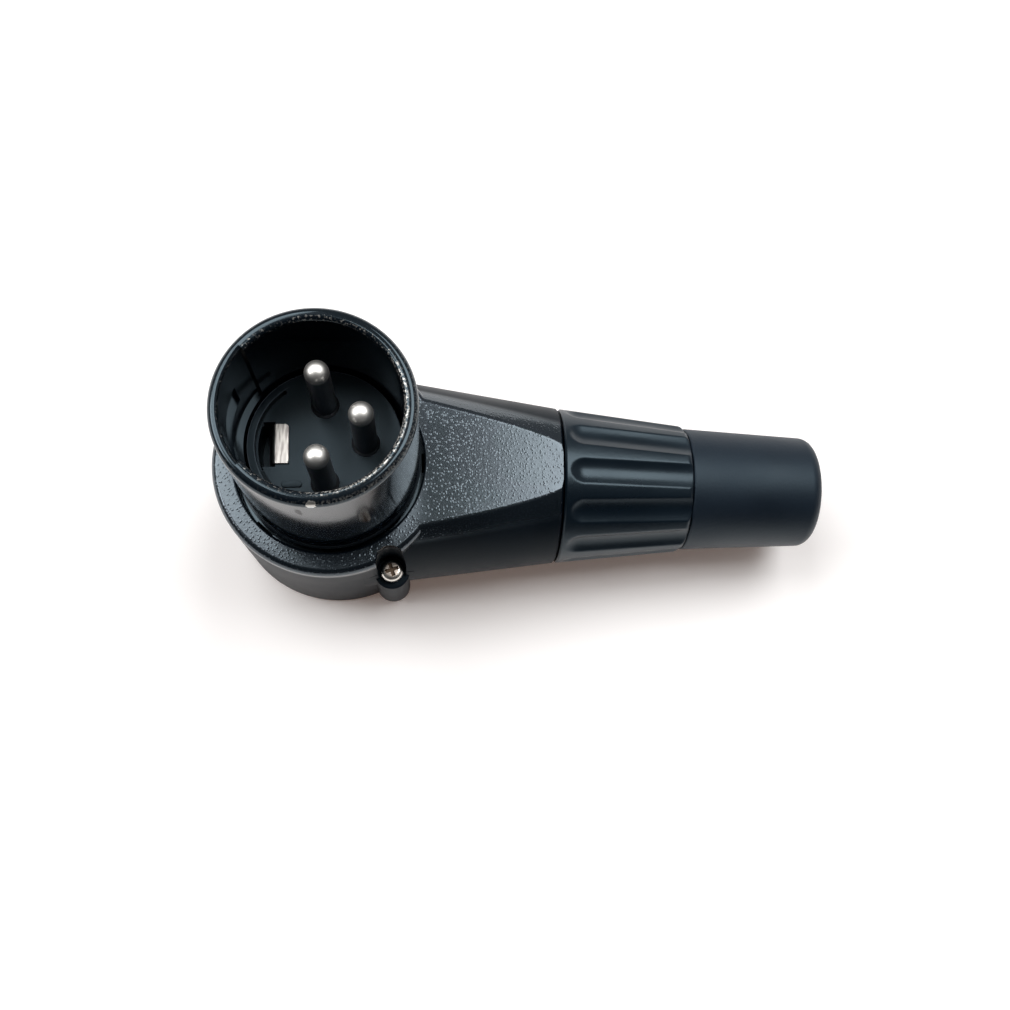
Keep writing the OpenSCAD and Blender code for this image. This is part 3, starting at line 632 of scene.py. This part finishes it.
def make_insert(material):
    edge = 0.15
    profile = rounded([
        (0, HUB_Z), (HUB_R, HUB_Z, edge), (HUB_R, INSERT_FLANGE_Z), (INSERT_FLANGE_R, INSERT_FLANGE_Z, edge),
        (INSERT_FLANGE_R, INSERT_SEAT_Z, edge), (INSERT_R, INSERT_SEAT_Z), (INSERT_R, FACE_Z, edge), (0, FACE_Z)], 4)
    insert = object_of(turned(profile, steps=144), "insert")
    mark_l, mark_w, mark_h = 2.05, 0.65, 0.18
    mark = block((-mark_l / 2, -mark_w / 2, FACE_Z - 0.4), (mark_l / 2, mark_w / 2, FACE_Z + mark_h))
    uprights = [e for e in mark.edges if abs(e.verts[0].co.z - e.verts[1].co.z) > 0.1]
    bmesh.ops.bevel(mark, geom=uprights, offset=mark_w / 2 - 0.01, affect="EDGES", segments=8, profile=0.5, material=-1)
    rim = [e for e in mark.edges if all(v.co.z > FACE_Z for v in e.verts)]
    bmesh.ops.bevel(mark, geom=rim, offset=0.06, affect="EDGES", segments=3, profile=0.5, material=-1)
    combined(insert, [moved(mark, Matrix.Translation((-3.3, -4.2, 0)))], "UNION")
    half_w = GROUND_W / 2 + 0.3
    pocket_r = FACE_RING_R - FACE_GROOVE_W / 2
    leg_out = GROUND_LEG_R + GROUND_T
    pocket = object_of(block((-pocket_r, -half_w, FACE_Z - POCKET_DEPTH), (-GROUND_LEG_R + FIT, half_w, FACE_Z + 1)),
                       "pocket")
    combined(pocket, [rod((0, 0), pocket_r, 10, FACE_Z + 2, 144)], "INTERSECT")
    pocket_bm = bmesh.new()
    pocket_bm.from_mesh(pocket.data)
    bpy.data.objects.remove(pocket)
    slot = block((-leg_out - FIT, -GROUND_W / 2 - FIT, HUB_Z - 1), (-GROUND_LEG_R + FIT, GROUND_W / 2 + FIT, FACE_Z + 1))
    cuts = [ring_sector(FACE_RING_R - FACE_GROOVE_W, FACE_RING_R, FACE_GROOVE_HALF, FACE_Z - FACE_GROOVE_DEPTH,
                        FACE_Z + 1), pocket_bm, slot]
    for angle in PIN_ANGLES.values():
        hole = rod((PIN_CIRCLE_R, 0), PIN_ROOT_R + FIT, HUB_Z - 1, FACE_Z + 1, 48)
        cuts.append(turned_by(hole, math.radians(angle)))
    combined(insert, cuts)
    insert.data.transform(Matrix.Rotation(HEAD_TURN, 4, "Z"))
    return placed(shaded(insert, 34), "root", "insert_plastic", material, "contact_insert")


def make_pin(name, angle, material):
    """Domed pin with a collar behind the insert and an open solder cup."""
    collar_r, collar_t, bucket_r, bucket_bore_r, bucket_l = 1.7, 0.8, 1.4, 0.9, 3.6
    step = PIN_ROOT_R - PIN_R
    low = HUB_Z - collar_t - bucket_l
    profile = rounded([
        (0, low), (bucket_r, low, 0.1), (bucket_r, HUB_Z - collar_t), (collar_r, HUB_Z - collar_t, 0.1),
        (collar_r, HUB_Z), (PIN_ROOT_R, HUB_Z), (PIN_ROOT_R, FACE_Z), (PIN_R, FACE_Z + step),
        (PIN_R, PIN_TIP_Z, PIN_R - 0.02), (0, PIN_TIP_Z)], 12)
    pin = object_of(turned(profile, steps=64), name + "_dressed")
    open_h = bucket_l - 1.4
    combined(pin, [rod((0, 0), bucket_bore_r, low - 1, HUB_Z - collar_t - 0.4, 48),
                   block((0, -bucket_r - 1, low - 1), (bucket_r + 1, bucket_r + 1, low + open_h))])
    pin.data.transform(Matrix.Rotation(HEAD_TURN + math.radians(angle), 4, "Z")
                       @ Matrix.Translation((PIN_CIRCLE_R, 0, 0)))
    return placed(shaded(pin), "root", "contact_plating", material, name)


def make_ground_contact(material):
    leg_out = GROUND_LEG_R + GROUND_T
    top = FACE_Z + GROUND_T
    tail_z = HUB_Z - 3.4
    bulge_z = FACE_Z - POCKET_DEPTH / 2
    inner = 0.12
    outline = rounded([
        (-GROUND_LAP_R, FACE_Z), (-GROUND_LAP_R, top, 0.08), (-leg_out, top, GROUND_T + inner),
        (-leg_out, FACE_Z - 0.6, 0.3), (-leg_out - GROUND_BULGE, bulge_z, 1.2), (-leg_out, FACE_Z - POCKET_DEPTH, 0.3),
        (-leg_out, tail_z, 0.05), (-GROUND_LEG_R, tail_z, 0.05), (-GROUND_LEG_R, FACE_Z - POCKET_DEPTH, 0.3),
        (-GROUND_LEG_R - GROUND_BULGE, bulge_z, 1.2), (-GROUND_LEG_R, FACE_Z - 0.6, 0.3), (-GROUND_LEG_R, FACE_Z)])
    strip = object_of(extruded(outline, -GROUND_W / 2, GROUND_W / 2), "ground_strip")
    corner, tail_w = 0.4, 2.2
    cuts = []
    for side in (-1, 1):
        y = side * (GROUND_W / 2 - corner)
        nib = object_of(block((-GROUND_LAP_R - corner, min(y, 2 * side), FACE_Z - 0.1),
                              (-GROUND_LAP_R + corner, max(y, 2 * side) + 0.5 * (side > 0), top + 0.5)), "nib")
        combined(nib, [rod((-GROUND_LAP_R - corner, y), corner, 20, 30, 32)])
        bm = bmesh.new()
        bm.from_mesh(nib.data)
        bpy.data.objects.remove(nib)
        cuts.append(bm)
        y0, y1 = (tail_w / 2, GROUND_W) if side > 0 else (-GROUND_W, -tail_w / 2)
        cuts.append(block((-leg_out - 0.5, y0, tail_z - 0.5), (-GROUND_LEG_R + 0.5, y1, HUB_Z - 0.2)))
    combined(strip, cuts)
    strip.data.transform(Matrix.Rotation(HEAD_TURN, 4, "Z"))
    return placed(shaded(strip), "root", "contact_plating", material, "ground_contact")


# Housing

def arm_radius(x):
    return DRUM_R - TAPER * x


def arm_section(bm, x, radius, top, bottom, ridge):
    """One cross-section of the arm: a circle between two flats, with rounded ridges."""
    points = []
    for height, sign in ((top, 1), (bottom, -1)):
        reach = math.sqrt((radius - ridge) ** 2 - (height - ridge) ** 2)
        tangent = math.atan2(height - ridge, reach)
        side = [(radius * math.cos(tangent * k / 24), radius * math.sin(tangent * k / 24)) for k in range(24)]
        bend = []
        for k in range(9):
            a = tangent + (math.pi / 2 - tangent) * k / 8
            bend.append((reach + ridge * math.cos(a), height - ridge + ridge * math.sin(a)))
        flat = [(reach * (1 - k / 4), height) for k in range(1, 5)]
        half = side + bend + flat
        whole = half + [(-y, z) for y, z in reversed(half[1:-1])]
        points += [(sign * y, sign * z) for y, z in whole]
    verts = [bm.verts.new((x, y, AXIS_Z + z)) for y, z in points]
    edges = [bm.edges.new((verts[i], verts[(i + 1) % len(verts)])) for i in range(len(verts))]
    return verts, edges


def arm_solid():
    """Tapered arm between the flat top and the flat back, bridged from its cross-sections."""
    bm = bmesh.new()
    edge = 0.2
    top = LEDGE_Z - AXIS_Z
    stations = [i * (ARM_X - edge) / 20 for i in range(21)]
    rings = [arm_section(bm, x, arm_radius(x), top, min(AXIS_Z, arm_radius(x) - 0.02) if arm_radius(x) < AXIS_Z + 0.02
                         else AXIS_Z, min(RIDGE_ROUND, 0.9 * (arm_radius(x) - top) + 0.9)) for x in stations]
    end_r = ARM_R - edge
    rings.append(arm_section(bm, ARM_X, end_r, min(top, end_r - 0.02), end_r - 0.02, 0.9))
    for (_, first), (_, second) in zip(rings, rings[1:]):
        bmesh.ops.bridge_loops(bm, edges=first + second)
    for verts, _ in (rings[0], rings[-1]):
        bm.faces.new(verts)
    bmesh.ops.recalc_face_normals(bm, faces=bm.faces)
    return bm


def drum_solid():
    foot = 0.4
    return turned(rounded([(0, 0), (DRUM_R, 0, foot), (DRUM_R, LEDGE_Z, LEDGE_ROUND), (0, LEDGE_Z)], 8), steps=192)


def at_screws(shape):
    """One copy of a shape at each screw."""
    return [moved(shape(), Matrix.Translation((EAR_X, side * EAR_Y, 0))) for side in (-1, 1)]


def threaded_neck():
    """Neck with a right-hand thread, from the arm's end to its own."""
    collar_end = ARM_X + 0.9
    steps, rows = 96, 96
    start, end = collar_end + 0.2, NECK_END_X - 0.3
    profile = [(ARM_X - 0.5, 0), (ARM_X - 0.5, NECK_R), (collar_end, NECK_R)]
    profile += [(start + (end - start) * k / rows, NECK_ROOT_R) for k in range(rows + 1)]
    profile += [(NECK_END_X, NECK_ROOT_R - 0.35), (NECK_END_X, 0)]
    bm = about_arm(profile, steps)
    for vert in bm.verts:
        x = vert.co.x
        if start - 1e-4 <= x <= end + 1e-4:
            y, z = vert.co.y, vert.co.z - AXIS_Z
            radius = math.hypot(y, z)
            if radius < 1:
                continue
            phase = (x / THREAD_PITCH - math.atan2(z, y) / (2 * math.pi)) % 1
            ridge = max(0.0, 1 - abs(phase - 0.5) * 3.4)
            fade = min(1, (x - start) / 0.5, (end - x) / 0.5)
            grown = (NECK_ROOT_R + (NECK_R - NECK_ROOT_R) * min(1, ridge * 1.25) * max(0, fade)) / radius
            vert.co.y, vert.co.z = y * grown, AXIS_Z + z * grown
    return bm


def cavity_shapes():
    """Hollow for the wires and the head's flange, with the screws' posts left standing."""
    room = object_of(rod((0, 0), CAVITY_R, FLOOR_Z, PLATE_UNDER_Z, 144), "room")
    duct = object_of(about_arm([(0, 0), (0, arm_radius(0) - WALL), (THROAT_X, arm_radius(THROAT_X) - WALL),
                                (THROAT_X, 0)]), "duct")
    combined(duct, [block((-1, -DRUM_R, FLOOR_Z), (ARM_X, DRUM_R, PLATE_UNDER_Z))], "INTERSECT")
    bm = bmesh.new()
    bm.from_mesh(duct.data)
    bpy.data.objects.remove(duct)
    combined(room, [bm], "UNION")
    combined(room, at_screws(lambda: rod((0, 0), CHANNEL_R + 0.7, EAR_LOW_Z, LEDGE_Z + 1, 48)))
    bm = bmesh.new()
    bm.from_mesh(room.data)
    bpy.data.objects.remove(room)
    return bm


def joint_ticks():
    """Short lines in the arm's skin beside each channel."""
    x0, x1 = EAR_X - CHANNEL_R - TICK_L, EAR_X + CHANNEL_R + TICK_L
    skin = object_of(about_arm([(x0, arm_radius(x0) - TICK_DEPTH), (x0, arm_radius(x0) + 1), (x1, arm_radius(x1) + 1),
                                (x1, arm_radius(x1) - TICK_DEPTH)]), "skin")
    combined(skin, [block((x0 + 0.001, -20, TICK_Z - TICK_W / 2), (x1 - 0.001, 20, TICK_Z + TICK_W / 2))], "INTERSECT")
    bm = bmesh.new()
    bm.from_mesh(skin.data)
    bpy.data.objects.remove(skin)
    return bm


def make_housing(material):
    housing = object_of(drum_solid(), "housing")
    ears = at_screws(lambda: rod((0, 0), EAR_R, SEAM_Z - 1, SHELF_Z, 64, 0.2))
    combined(housing, [arm_solid()] + ears + [threaded_neck()], "UNION")
    flare = 0.3
    hole = turned(rounded([(0, FLANGE_Z), (CUP_HOLE_R, FLANGE_Z), (CUP_HOLE_R, LEDGE_Z - 0.02, flare),
                           (CUP_HOLE_R + 2, LEDGE_Z - 0.02), (CUP_HOLE_R + 2, LEDGE_Z + 2), (0, LEDGE_Z + 2)], 6),
                  steps=192)
    bore = about_arm([(THROAT_X - 1, 0), (THROAT_X - 1, THROAT_R), (CHUCK_X - FIT, THROAT_R),
                      (CHUCK_X - FIT, NECK_BORE_R), (NECK_END_X + 1, NECK_BORE_R), (NECK_END_X + 1, 0)])
    rib_w, rib_h = 1.4, 0.5
    groove = block((CHUCK_X - FIT, -rib_w / 2 - 2 * FIT, AXIS_Z - NECK_BORE_R - rib_h),
                   (NECK_END_X + 1, rib_w / 2 + 2 * FIT, AXIS_Z - NECK_BORE_R + 1))
    cuts = [block((-20, -20, -5), (COVER_X + FIT, 20, SEAM_Z)), cavity_shapes(), hole, bore, groove]
    cuts += at_screws(lambda: rod((0, 0), CHANNEL_R, SHELF_Z, LEDGE_Z + 2, 64))
    cuts += at_screws(lambda: rod((0, 0), 1.0, SEAM_Z - 1, SHELF_Z + 1, 48))
    cuts.append(joint_ticks())
    combined(housing, cuts)
    key_w = NOTCH_W - 1.1
    key_in = FLANGE_R - NOTCH_DEPTH + 0.15
    combined(housing, [block((-CAVITY_R - 0.25, -key_w / 2, FLANGE_Z), (-key_in, key_w / 2, PLATE_UNDER_Z + 0.01))],
             "UNION")
    return placed(shaded(housing, 30), "root", "textured_paint", material, "elbow_housing")


# Screws

def make_screws(material):
    """Pan-head screws with a cross recess."""
    head_r, head_h, shank_r, shank_l = 1.25, 1.3, 0.9, 7.6
    both = bmesh.new()
    for side in (-1, 1):
        profile = rounded([(0, SHELF_Z - shank_l), (shank_r, SHELF_Z - shank_l, 0.2), (shank_r, SHELF_Z),
                           (head_r, SHELF_Z, 0.08), (head_r, SHELF_Z + head_h, 0.55), (0, SHELF_Z + head_h)], 8)
        screw = object_of(turned(profile, steps=64), "screw")
        cross = object_of(block((-0.75, -0.21, SHELF_Z + head_h - 0.5), (0.75, 0.21, SHELF_Z + head_h + 1)), "cross")
        combined(cross, [block((-0.21, -0.75, SHELF_Z + head_h - 0.5), (0.21, 0.75, SHELF_Z + head_h + 1))], "UNION")
        bm = bmesh.new()
        bm.from_mesh(cross.data)
        bpy.data.objects.remove(cross)
        combined(screw, [turned_by(bm, math.radians(20))])
        screw.data.transform(Matrix.Translation((EAR_X, side * EAR_Y, 0)))
        both.from_mesh(screw.data)
        bpy.data.objects.remove(screw)
    return placed(shaded(object_of(both, "screws")), "root", "screw_steel", material, "cover_screws")


# Gland

def flute_floor(x, y, z):
    """Radius scale that presses a point of the ring's skin into the nearest grip flute."""
    radius = math.hypot(y, z)
    step = 2 * math.pi / FLUTE_COUNT
    angle = math.atan2(y, z) + FLUTE_TURN
    off = (angle + step / 2) % step - step / 2
    s, h = radius * math.sin(off), radius * math.cos(off)
    sag = FLUTE_DEPTH - (RING_R - math.sqrt(RING_R ** 2 - FLUTE_W ** 2 / 4))
    cutter = (FLUTE_W ** 2 / 4 + sag ** 2) / (2 * sag)
    start = FLUTE_START_X + FLUTE_W / 2
    slope = (RING_R - RING_END_R) / (RING_END_X - RING_X)
    before = max(0.0, start - x)
    centre = RING_R - slope * (max(x, start) - RING_X) - FLUTE_DEPTH + cutter
    room = cutter ** 2 - s ** 2 - before ** 2
    if room <= 0:
        return 1.0
    floor = centre - math.sqrt(room)
    soft = 0.07
    gap = h - floor
    pressed = (gap + math.sqrt(gap * gap + soft * soft)) / 2 if gap < 3 * soft else gap
    pressed = max(0.0, pressed - soft / 2)
    return 1 - min(pressed, 2 * FLUTE_DEPTH) / radius


def make_ring(material):
    edge, end_round, rows = 0.2, 0.7, 56
    slope = (RING_R - RING_END_R) / (RING_END_X - RING_X)
    chuck_end, finger_x, finger_play = 37.04, 32.44, 0.3
    finger_r = lambda x: 5.4 - (5.4 - 4.65) * (x - finger_x) / 4.6
    step_x = NECK_END_X + 0.5
    skin_end = RING_END_X - end_round
    skin = [(RING_X + edge + (skin_end - RING_X - edge) * k / rows,
             RING_R - slope * (edge + (skin_end - RING_X - edge) * k / rows)) for k in range(rows + 1)]
    end = rounded([skin[-1], (RING_END_X, RING_END_R, end_round), (RING_END_X, NOSE_R)], 8)
    profile = [(RING_X, RING_BORE_R), (RING_X, RING_R - edge)] + skin[:-1] + end + [
        (NOSE_X, NOSE_R), (NOSE_X, NOSE_BORE_R), (chuck_end + finger_play, NOSE_BORE_R),
        (chuck_end + finger_play, finger_r(chuck_end + finger_play) + finger_play),
        (step_x, finger_r(step_x) + finger_play), (step_x, RING_BORE_R)]
    bm = about_arm(profile, 32 * FLUTE_COUNT)
    for vert in bm.verts:
        y, z = vert.co.y, vert.co.z - AXIS_Z
        if math.hypot(y, z) > NOSE_R + 0.4 and vert.co.x > RING_X + edge / 2 and math.hypot(y, z) > RING_BORE_R - 0.2:
            grown = flute_floor(vert.co.x, y, z)
            vert.co.y, vert.co.z = y * grown, AXIS_Z + z * grown
    ring = object_of(bm, "grip_ring")
    return placed(shaded(ring, 45), "gland", "ring_plastic", material, "gland_ring", weighted=False)


def make_boot(material):
    socket_x, socket_r = NOSE_X + FIT, NOSE_R + FIT
    profile = rounded([(BOOT_X, socket_r), (BOOT_X, BOOT_R, 0.25), (BOOT_END_X, BOOT_END_R, 1.5),
                       (BOOT_END_X, CABLE_R, 0.5), (socket_x, CABLE_R), (socket_x, socket_r), (BOOT_X, socket_r)], 10)
    boot = object_of(about_arm(profile[:-1], 128), "boot_sleeve")
    return placed(shaded(boot, 50), "gland", "boot_rubber", material, "boot")


# Light, floor and background

def make_stage():
    bpy.ops.mesh.primitive_plane_add(size=3)
    floor = bpy.context.active_object
    floor.name = "floor"
    material, shader = new_material("floor_white", (0.96, 0.96, 0.96), 0.7, specular=0.1)
    tree = material.node_tree
    place = add(tree, "ShaderNodeTexCoord")
    out = add(tree, "ShaderNodeVectorMath", operation="LENGTH")
    tree.links.new(place.outputs["Object"], out.inputs[0])
    # painted light: for seen rays the floor glows, faint and warm near the object so that its shadow reads warm, and
    # near white further out
    far = in_range(tree, out.outputs["Value"], 0.12, 0.45)
    tree.links.new(blended(tree, far, (1, 0.68, 0.54), (1, 1, 1)), shader.inputs["Emission Color"])
    lift = in_range(tree, far, 0, 1, 0.1, 0.95)
    tree.links.new(number(tree, "MULTIPLY", seen_ray(tree), lift), shader.inputs["Emission Strength"])
    floor.data.materials.append(material)
    world = bpy.data.worlds.new("studio")
    bpy.context.scene.world = world
    world.use_nodes = True
    tree = world.node_tree
    place = add(tree, "ShaderNodeTexCoord")
    split = add(tree, "ShaderNodeSeparateXYZ")
    tree.links.new(place.outputs["Generated"], split.inputs[0])
    room = in_range(tree, split.outputs["Y"], -0.65, 0.35, 0.05, 0.34)
    below = in_range(tree, split.outputs["Z"], -0.02, 0.0, 1.0, 0.0)
    path = add(tree, "ShaderNodeLightPath")
    shown = number(tree, "MAXIMUM", number(tree, "MULTIPLY", below, seen_ray(tree)), path.outputs["Is Camera Ray"])
    strength = add(tree, "ShaderNodeMix", data_type="FLOAT")
    tree.links.new(shown, strength.inputs["Factor"])
    tree.links.new(room, strength.inputs[2])
    strength.inputs[3].default_value = 1.0
    back = tree.nodes["Background"]
    back.inputs["Color"].default_value = (1, 1, 1, 1)
    tree.links.new(strength.outputs[0], back.inputs["Strength"])


def seen_ray(tree):
    """1 for rays that show the surroundings: from the camera, a reflection or clear material."""
    path = add(tree, "ShaderNodeLightPath")
    shown = number(tree, "MAXIMUM", path.outputs["Is Camera Ray"], path.outputs["Is Glossy Ray"])
    return number(tree, "MAXIMUM", shown, path.outputs["Is Transmission Ray"])


def make_panel(name, x_range, y_range, height, radiance):
    """Soft ceiling panel that faces down, in metres."""
    data = bpy.data.lights.new(name, "AREA")
    data.shape = "RECTANGLE"
    data.size = x_range[1] - x_range[0]
    data.size_y = y_range[1] - y_range[0]
    data.energy = radiance * math.pi * data.size * data.size_y
    panel = bpy.data.objects.new(name, data)
    bpy.context.scene.collection.objects.link(panel)
    panel.location = (sum(x_range) / 2, sum(y_range) / 2, height)


bpy.context.scene.view_settings.view_transform = "Standard"
make_camera()
make_stage()
make_panel("right_panel", (0.06, 0.36), (0.0, 0.37), 0.48, 5.8)
make_panel("left_panel", (-0.36, -0.065), (0.06, 0.40), 0.48, 5.4)
make_panel("far_left_panel", (-0.75, -0.36), (-0.10, 0.24), 0.45, 7.0)

grain = grain_group()
textured = textured_paint(grain)
gloss = gloss_paint(grain)
plastic = insert_finish(grain)
rubbed = strip_finish(grain)
pin_plating = pin_finish(grain)
retainer = plain_finish("retainer_metal", grain, (0.42, 0.43, 0.45), 0.4, 1, 1800, 0.01)
steel = screw_finish(grain)
ring_black = plain_finish("ring_plastic", grain, (0.002, 0.005, 0.009), 0.33, 0, 2200, 0.008, specular=0.42, tint=COOL)
pale = plain_finish("chuck_plastic", grain, (0.62, 0.63, 0.61), 0.45, 0, 1800, 0.01, lift=1.08)
rubber = plain_finish("boot_rubber", grain, (0.0025, 0.0055, 0.011), 0.50, 0, 3000, 0.012, specular=0.42, tint=COOL)

make_cup(gloss)
make_insert(plastic)
for pin_name, pin_angle in PIN_ANGLES.items():
    make_pin(pin_name, pin_angle, pin_plating)
make_ground_contact(rubbed)
make_housing(textured)
make_screws(steel)
make_ring(ring_black)
make_boot(rubber)
for node_name, finish in (("insert_retainer", retainer), ("back_cover", textured), ("chuck", pale)):
    nodes[node_name].data.materials.clear()
    nodes[node_name].data.materials.append(finish)
